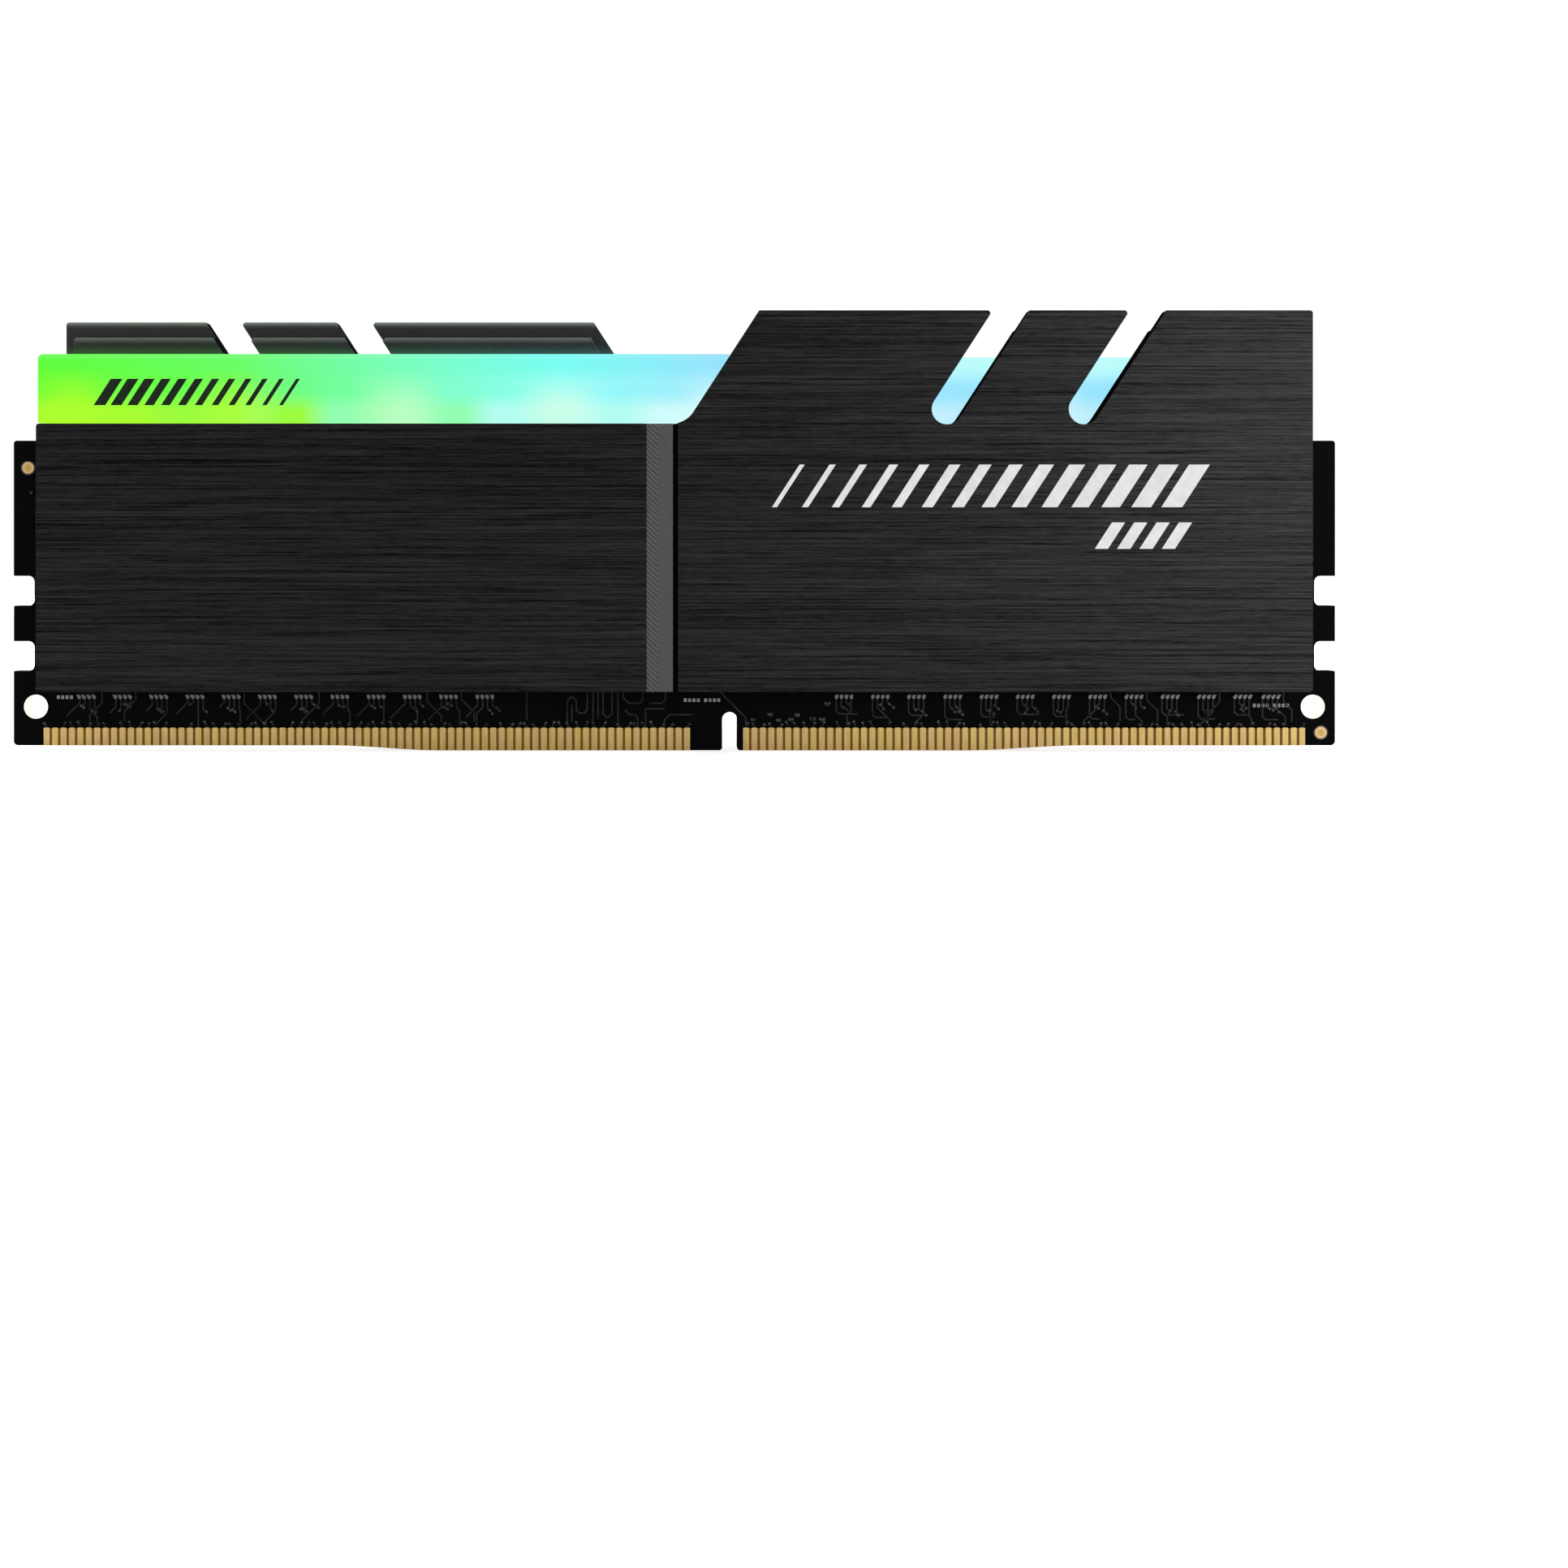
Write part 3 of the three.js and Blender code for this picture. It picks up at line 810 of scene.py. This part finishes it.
def turning_route(chance, x):
    """An array's first track, which turns off: to the right on the board's right side, else to the left."""
    if x > KEY_CENTRE:
        bend = chance.uniform(3.4, 4.0)
        run = chance.uniform(0.5, 2.2)
        return [(x, SOLDER_FOOT), (x, bend), (x + 0.3, bend - 0.3), (x + 0.3 + run, bend - 0.3)]
    run = chance.uniform(0.4, 1.6)
    turn = chance.uniform(4.4, 4.9)
    return [(x, SOLDER_FOOT), (x, turn), (x - run, turn - run), (x - run, turn - run - 0.1)]


def descending_route(chance, x):
    """A track from an array down to one of the contacts just below it."""
    bend = chance.uniform(3.4, 4.4)
    pad = nearest_pad(x + chance.choice((-1, 0, 1)) * PAD_PITCH)
    low = max(PAD_TOP + 0.2, bend - abs(pad - x))
    return [(x, SOLDER_FOOT), (x, bend), (pad, low), (pad, PAD_TOP)]


def short_routes(chance, x):
    """A short track from an array to a via, and often another from there to a second via."""
    side = x + chance.choice((-1, 1)) * chance.uniform(0.1, 0.4)
    end = chance.uniform(3.8, 4.7)
    routes = [[(x, SOLDER_FOOT), (x, end + 0.2), (side, end)]]
    if chance.random() < TWIN_SHARE:
        twin = side + chance.uniform(0.25, 0.45)
        routes.append([(side, end), (side + 0.1, end), (twin, end - chance.uniform(0.15, 0.4))])
    return routes


def passing_route(chance, centre):
    """A track that comes out from under the shell to the right of an array."""
    side = centre + ARRAY_HALF_WIDTH + chance.uniform(0.3, 0.6)
    run = chance.uniform(0.8, 1.9) * chance.choice((-1, 1))
    top = chance.uniform(4.7, 5.4)
    return [(side, PASSING_TOP), (side, top), (side + run, top - abs(run)), (side + run, PASSING_FOOT)]


def array_routes(chance):
    """Irregular tracks under the arrays."""
    routes = []
    for centre in [x for row in array_centres().values() for x in row]:
        to_contact = chance.choice((1, 2, 3, None))
        for number in range(TERMINALS):
            x = terminal_x(centre, number)
            if number == 0:
                routes.append(turning_route(chance, x))
            elif number == to_contact:
                routes.append(descending_route(chance, x))
            else:
                routes += short_routes(chance, x)
        if chance.random() < PASSING_SHARE:
            routes.append(passing_route(chance, centre))
    return routes


def middle_routes():
    """The meandering tracks and straight lines in the middle of the board."""
    return [
        [(-14.9, HIDDEN_Z), (-14.9, 3.0)],
        [
            (-10.8, PAD_TOP), (-10.8, 5.0), (-10.5, 5.35), (-10.2, 5.35), (-9.9, 5.0),
            (-9.9, 4.1), (-9.6, 3.75), (-9.1, 3.75), (-8.8, 4.1), (-8.8, HIDDEN_Z),
        ],
        [(-10.35, 2.9), (-10.35, 4.6)],
        [(-8.2, PAD_TOP), (-8.2, HIDDEN_Z)],
        [(-7.7, HIDDEN_Z), (-7.7, 3.2)],
        [(-7.2, HIDDEN_Z), (-7.2, 3.7), (-6.9, 3.35), (-6.6, 3.35), (-6.3, 3.7), (-6.3, HIDDEN_Z)],
        [(-5.7, HIDDEN_Z), (-5.7, PAD_TOP)],
        [(-5.15, HIDDEN_Z), (-5.15, 5.3), (-4.6, 4.75), (-3.5, 4.75), (-3.2, 5.05), (-3.2, HIDDEN_Z)],
        [(-5.0, 4.1), (-4.5, 3.6), (-4.0, 3.6), (-3.7, 3.3), (-3.7, PAD_TOP)],
        [(-2.9, PAD_TOP), (-2.9, 4.2), (-1.0, 4.2)],
        [(-2.6, 4.75), (-1.3, 4.75), (-0.9, 5.15), (-0.9, HIDDEN_Z)],
        [(-1.0, PAD_TOP), (-1.0, 3.1), (-0.5, 3.6), (1.9, 3.6)],
        [(4.6, 6.6), (4.6, 5.9), (7.2, 3.3), (7.2, PAD_TOP)],
    ]


def contact_routes(chance):
    """Short crooked tracks from most contacts to the vias just above them."""
    routes = []
    for first, count in PAD_ROWS.values():
        for i in range(count):
            if chance.random() < CONTACT_SHARE:
                x = first + i * PAD_PITCH
                end = (x + chance.choice((-1, 1)) * chance.uniform(0.12, 0.3), chance.uniform(2.6, 2.9))
                routes.append([(x, PAD_TOP), (x, PAD_TOP + 0.1), end])
    return routes


def key_routes(chance):
    """Short forks of two tracks, with a via at each end, beside the key notch."""
    routes = []
    for x, low in KEY_VIAS:
        rise = chance.uniform(0.25, 0.4)
        for lean in (-rise / 2, rise / 2):
            routes.append([(x, low), (x + 0.02, low), (x + lean, low + rise)])
    return routes


def via_places(routes):
    """Centres of the vias: one at the end of each three-point track, and the lone one."""
    return [route[-1] for route in routes if len(route) == 3] + [LONE_VIA]


def make_tracks(face_name, face):
    """Tracks and vias that show between the shell and the contacts."""
    chance = random.Random(TRACK_SEED)
    routes = array_routes(chance) + contact_routes(chance) + key_routes(chance)
    bm = bmesh.new()
    for route in routes + middle_routes():
        add_track(bm, route, face)
    tracks = mesh_object(f"tracks_{face_name}", bm)
    finish_piece(tracks, [TRACK])
    bm = bmesh.new()
    for place in via_places(routes):
        ring = circle(place, VIA_RADIUS, ARC_STEPS)
        add_plate(bm, ring, face * BOARD_FACE, face * (BOARD_FACE + VIA_THICKNESS))
    vias = mesh_object(f"vias_{face_name}", bm)
    finish_piece(vias, [VIA])


def make_print():
    """Groups of plain grey blocks printed on the board's front."""
    bm = bmesh.new()
    for start, low in PRINT_GROUPS:
        for i in range(PRINT_BLOCKS):
            left = start + PRINT_PITCH * i
            block = rectangle(left, low, left + PRINT_WIDTH, low + PRINT_HEIGHT, PRINT_CORNER)
            add_plate(bm, block, -BOARD_FACE, -BOARD_FACE - PRINT_THICKNESS)
    blocks = mesh_object("printed_blocks", bm)
    finish_piece(blocks, [GREY_INK])


def make_fiducials():
    """Gold alignment discs, each in a ring of bare board and with a yellower centre."""
    for name in ("fiducial_left", "fiducial_right"):
        low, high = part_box(name)
        centre = ((low.x + high.x) / 2 / MM, (low.z + high.z) / 2 / MM)
        radius = (high.x - low.x) / 2 / MM
        bm = bmesh.new()
        ring = circle(centre, radius * DISC_RING)
        disc = circle(centre, radius)
        middle = circle(centre, radius * DISC_MIDDLE, MIDDLE_STEPS)
        disc_top = -BOARD_FACE - PAD_THICKNESS
        add_plate(bm, ring, -BOARD_FACE, -BOARD_FACE - RING_THICKNESS, 1)
        add_plate(bm, disc, -BOARD_FACE, disc_top, 0)
        add_plate(bm, middle, -BOARD_FACE, disc_top - MIDDLE_PROUD, 2)
        obj = mesh_object(name + "_gold", bm)
        finish_piece(obj, [DISC_GOLD, VIA, DISC_CENTRE], [name])


def make_array(name, centre):
    """One four-way resistor package: a dark body with tinned ends and solder under the lower row."""
    front = -BOARD_FACE - ARRAY_THICKNESS
    bm = bmesh.new()
    body = rectangle(centre - ARRAY_HALF_WIDTH, BODY_BOTTOM, centre + ARRAY_HALF_WIDTH, BODY_TOP)
    add_plate(bm, body, front, -BOARD_FACE, 0)
    bottom = BODY_BOTTOM - TERMINAL_PROUD
    for number in range(TERMINALS):
        x = terminal_x(centre, number)
        for low in (bottom, BODY_TOP - TERMINAL_WRAP + TERMINAL_PROUD):
            wrap = rectangle(x - TERMINAL_HALF_WIDTH, low, x + TERMINAL_HALF_WIDTH, low + TERMINAL_WRAP)
            add_plate(bm, wrap, front - TERMINAL_FACE_PROUD, -BOARD_FACE - TERMINAL_LIFT, 1)
        foot = [(x - SOLDER_HALF_FOOT, SOLDER_FOOT), (x + SOLDER_HALF_FOOT, SOLDER_FOOT)]
        fillet = foot + [(x + SOLDER_HALF_TOP, bottom), (x - SOLDER_HALF_TOP, bottom)]
        add_plate(bm, fillet, -BOARD_FACE - SOLDER_THICKNESS, -BOARD_FACE, 1)
    obj = mesh_object(name + "_body", bm)
    soften(obj, ARRAY_EDGE, 2)
    finish_piece(obj, [CERAMIC, TIN], [name])


def make_arrays():
    """Every resistor array in both rows."""
    for side, centres in array_centres().items():
        for i, centre in enumerate(centres):
            make_array(f"resistor_array_{side}_{i + 1:02d}", centre)


# ---- heat spreader --------------------------------------------------------------------------------


def fin_corners(top, inset):
    """The raised half's upper edge from the shell's end to its slanted edge, with both slots."""
    up = Vector((math.cos(SLOPE), math.sin(SLOPE)))
    lean = (top - SLOT_END_Z) / math.tan(SLOPE)
    half_mouth = SLOT_RADIUS / math.sin(SLOPE)
    corners = [(SHELL_HALF - inset, top, TIP_RADIUS)]
    for end_x in sorted(SLOT_END_XS, reverse=True):
        first = math.atan2(-up.x, up.y)
        corners.append((end_x + lean + half_mouth, top, BLUNT_RADIUS))
        corners += arc((end_x, SLOT_END_Z), SLOT_RADIUS, first, -math.pi, 2 * ARC_STEPS)
        corners.append((end_x + lean - half_mouth, top, TIP_RADIUS))
    corners.append((slope_x(top) + inset / math.sin(SLOPE), top, BLUNT_RADIUS))
    return corners


def skin_outline():
    """The shell's outer sheet."""
    return rounded(
        [(SHELL_HALF, SHELL_BOTTOM, TIP_RADIUS)]
        + fin_corners(SHELL_TOP, 0)
        + [(SLOPE_FOOT, SHOULDER, FILLET)]
        + [(-SHELL_HALF, SHOULDER, TIP_RADIUS), (-SHELL_HALF, SHELL_BOTTOM, TIP_RADIUS)]
    )


def band_outline():
    """The thicker band inside the fins."""
    foot = slope_x(BAND_BOTTOM) + BAND_INSET / math.sin(SLOPE)
    return rounded(
        [(SHELL_HALF - BAND_INSET, BAND_BOTTOM)] + fin_corners(BAND_TOP, BAND_INSET) + [(foot, BAND_BOTTOM)]
    )


def in_slot(polygon):
    """Whether a face is part of a slot's wall."""
    x, z = abs(polygon.center.x) / MM, polygon.center.z / MM
    upright = abs(polygon.normal.y) < 0.1 and z > SLOT_END_Z - 2 * SLOT_RADIUS
    lean = (z - SLOT_END_Z) / math.tan(SLOPE)
    return upright and any(abs(x - end_x - lean) < 1.5 * SLOT_RADIUS for end_x in SLOT_END_XS)


def make_shell(side, turned):
    """One heat spreader: the outer sheet with its insert channel, and the band inside its fins."""
    channel_floor = -SHELL_FACE + CHANNEL_DEPTH
    skin = plate_object("skin", skin_outline(), -SHELL_FACE, -SKIN_INNER)
    outline = rectangle(CHANNEL[0], SHELL_BOTTOM - CUT_MARGIN, CHANNEL[1], SHOULDER + CUT_MARGIN)
    trench = plate_object("trench", outline, -SHELL_FACE - CUT_MARGIN, channel_floor)
    cut_or_join(skin, trench, "DIFFERENCE")
    for polygon in skin.data.polygons:
        depth = polygon.center.y / MM
        if depth > -SKIN_INNER - TOLERANCE:
            polygon.material_index = 1
        # The channel's floor and the slots' walls take the painted shade black.
        elif abs(depth - channel_floor) < TOLERANCE or in_slot(polygon):
            polygon.material_index = 2
    bm = bmesh.new()
    bm.from_mesh(skin.data)
    bpy.data.objects.remove(skin)
    shell = mesh_object(f"{side}_shell", bm, turned)
    soften(shell, SHELL_EDGE)
    finish_piece(shell, [ANODISED, INNER, SHADE_BLACK], [f"{side}_heat_spreader"])
    bm = bmesh.new()
    add_plate(bm, band_outline(), -SKIN_INNER, -BAND_INNER)
    band = mesh_object(f"{side}_shell_band", bm, turned)
    # The band's slot walls take the painted shade black.
    for polygon in band.data.polygons:
        polygon.material_index = int(in_slot(polygon))
    soften(band, BAND_EDGE)
    finish_piece(band, [BAND, SHADE_BLACK])


def make_bar():
    """The light bar: a core between the fins and a lit face beside each raised half."""
    slant_gap = BAR_GAP / math.sin(SLOPE)
    foot = SLOPE_FOOT - slant_gap + BAR_GAP / math.tan(SLOPE)
    face = rounded([
        (-BAR_HALF, BAR_TOP, BAR_CORNER),
        (-BAR_HALF, SHOULDER + BAR_GAP),
        (foot, SHOULDER + BAR_GAP, FILLET - BAR_GAP),
        (slope_x(BAR_TOP) - slant_gap, BAR_TOP),
    ])
    core = rounded([
        (-BAR_HALF, BAR_CORE_BOTTOM),
        (BAR_HALF, BAR_CORE_BOTTOM),
        (BAR_HALF, BAR_TOP, BAR_CORNER),
        (-BAR_HALF, BAR_TOP, BAR_CORNER),
    ])
    bar = plate_object("light_bar", core, -BAR_CORE_FACE, BAR_CORE_FACE)
    for turned in (False, True):
        lit_face = plate_object("lit_face", face, -SHELL_FACE, -BAR_CORE_FACE / 2, turned)
        cut_or_join(bar, lit_face, "UNION")
    soften(bar, BAR_EDGE)
    finish_piece(bar, [ACRYLIC], ["light_diffuser"])


def make_mark(name, rows, turned, ink):
    """One printed mark of leaning bars."""
    bm = bmesh.new()
    for count, first, low, step, width, widening, height in rows:
        for i in range(count):
            outline = slanted(first + step * i, low, width + widening * i, height)
            add_plate(bm, outline, -SHELL_FACE - MARK_THICKNESS, -SHELL_FACE)
    finish_piece(mesh_object(name, bm, turned), [ink])


def make_marks():
    """Plain leaning bars printed where such modules carry a name: dark on the light, white on the shell."""
    for side, turned in (("front", False), ("rear", True)):
        make_mark(f"{side}_bar_mark", BAR_MARKS, turned, DARK_INK)
        make_mark(f"{side}_shell_mark", SHELL_MARKS, turned, WHITE_INK)


# ---- carried-over parts ---------------------------------------------------------------------------


def dress(node, material, width=PART_EDGE):
    """A carried-over part gets its finish and softened edges."""
    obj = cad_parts[node]
    obj.data.materials.clear()
    obj.data.materials.append(material)
    modifier = obj.modifiers.new("edges", "BEVEL")
    modifier.width = width * MM
    modifier.segments = 2
    modifier.limit_method = "ANGLE"


def dress_parts():
    """Finishes for every part that stays as the frame gives it."""
    for i in range(1, CHIPS + 1):
        dress(f"dram_chip_{i}", EPOXY)
        dress(f"led_{i}", LAMP)
    dress("spd_eeprom", EPOXY)
    dress("rgb_controller", EPOXY)
    for side in ("front", "rear"):
        dress(f"{side}_accent_strip", INSERT)
        dress(f"{side}_thermal_pad", SILICONE, THERMAL_PAD_EDGE)


# ---- studio ---------------------------------------------------------------------------------------


# Lengths and places in this section are metres.
AMBIENT = 0.22
FLOOR_HALF = 4.0
FLOOR_DROP = 0.00002
FLOOR_LIFT_NEAR = 0.72
FLOOR_LIFT_FAR = 0.85
LIFT_FROM = 0.3
LIFT_TO = 1.0
AIM = Vector((0, 0, 0.02))
# Each light: name, place, size and watts.
SOFTBOXES = (
    ("top_softbox", (0, 0, 0.7), (0.9, 0.5), 4.0),
    ("front_right", (0.45, -0.5, 0.16), (0.5, 0.36), 1.9),
    ("front_left", (-0.6, -0.5, 0.35), (0.3, 0.5), 0.8),
    ("back_left", (-0.45, 0.5, 0.16), (0.5, 0.36), 1.9),
    ("back_right", (0.6, 0.5, 0.35), (0.3, 0.5), 0.8),
)
CAMERA_PLACE = (0, -0.139, 0.0191)
CAMERA_LENS = 31.47
CAMERA_SENSOR = 36.0
CAMERA_SHIFT = (0.0699, -0.1422)


def make_floor():
    """A plain white floor under the module, lifted a little where it is seen directly."""
    mesh = bpy.data.meshes.new("floor")
    corners = rectangle(-FLOOR_HALF, -FLOOR_HALF, FLOOR_HALF, FLOOR_HALF)
    mesh.from_pydata([(x, y, -FLOOR_DROP) for x, y in corners], [], [(0, 1, 2, 3)])
    floor = bpy.data.objects.new("floor", mesh)
    bpy.context.scene.collection.objects.link(floor)
    f = Finish("floor_white", roughness=0.8, specular_ior_level=0.1)
    f.set("Base Color", f.mix(f.noise((6, 6, 6), 2.0), (0.84, 0.84, 0.84, 1), (0.88, 0.88, 0.88, 1)))
    f.set("Emission Color", (1, 1, 1, 1))
    distance = f.node("VectorMath", {0: f.place()}, operation="LENGTH").outputs["Value"]
    lift = f.spread(distance, LIFT_FROM, LIFT_TO, FLOOR_LIFT_NEAR, FLOOR_LIFT_FAR)
    f.set("Emission Strength", f.math("MULTIPLY", f.node("LightPath").outputs["Is Camera Ray"], lift))
    mesh.materials.append(f.material)


def make_world():
    """White surroundings that light the module more dimly than they look."""
    world = bpy.data.worlds.new("studio")
    bpy.context.scene.world = world
    world.use_nodes = True
    tree = world.node_tree
    background = tree.nodes["Background"]
    background.inputs["Color"].default_value = (1, 1, 1, 1)
    path = tree.nodes.new("ShaderNodeLightPath")
    strength = tree.nodes.new("ShaderNodeMapRange")
    strength.inputs["To Min"].default_value = AMBIENT
    strength.inputs["To Max"].default_value = 1.0
    tree.links.new(path.outputs["Is Camera Ray"], strength.inputs["Value"])
    tree.links.new(strength.outputs["Result"], background.inputs["Strength"])


def add_softbox(name, place, size, power):
    """An area light that faces the module."""
    data = bpy.data.lights.new(name, "AREA")
    data.shape = "RECTANGLE"
    data.size, data.size_y = size
    data.energy = power
    obj = bpy.data.objects.new(name, data)
    obj.location = place
    obj.rotation_mode = "QUATERNION"
    obj.rotation_quaternion = (AIM - Vector(place)).to_track_quat("-Z", "Y")
    bpy.context.scene.collection.objects.link(obj)


def make_lights():
    """Soft light from above, and from two sides in front and two behind."""
    for softbox in SOFTBOXES:
        add_softbox(*softbox)


def make_camera():
    """A close camera square to the front, framed off centre."""
    data = bpy.data.cameras.new("camera")
    data.sensor_width = CAMERA_SENSOR
    data.lens = CAMERA_LENS
    data.shift_x, data.shift_y = CAMERA_SHIFT
    data.clip_start = 0.001
    camera = bpy.data.objects.new("camera", data)
    camera.location = CAMERA_PLACE
    camera.rotation_euler = (math.pi / 2, 0, 0)
    bpy.context.scene.collection.objects.link(camera)
    bpy.context.scene.camera = camera
    bpy.context.scene.view_settings.view_transform = "Standard"


# ---- build ----------------------------------------------------------------------------------------

make_camera()
make_board()
for face_name, face in (("front", -1), ("rear", 1)):
    make_contacts(face_name, face)
    make_tracks(face_name, face)
make_print()
make_fiducials()
make_arrays()
make_shell("front", False)
make_shell("rear", True)
make_bar()
make_marks()
dress_parts()
make_floor()
make_world()
make_lights()
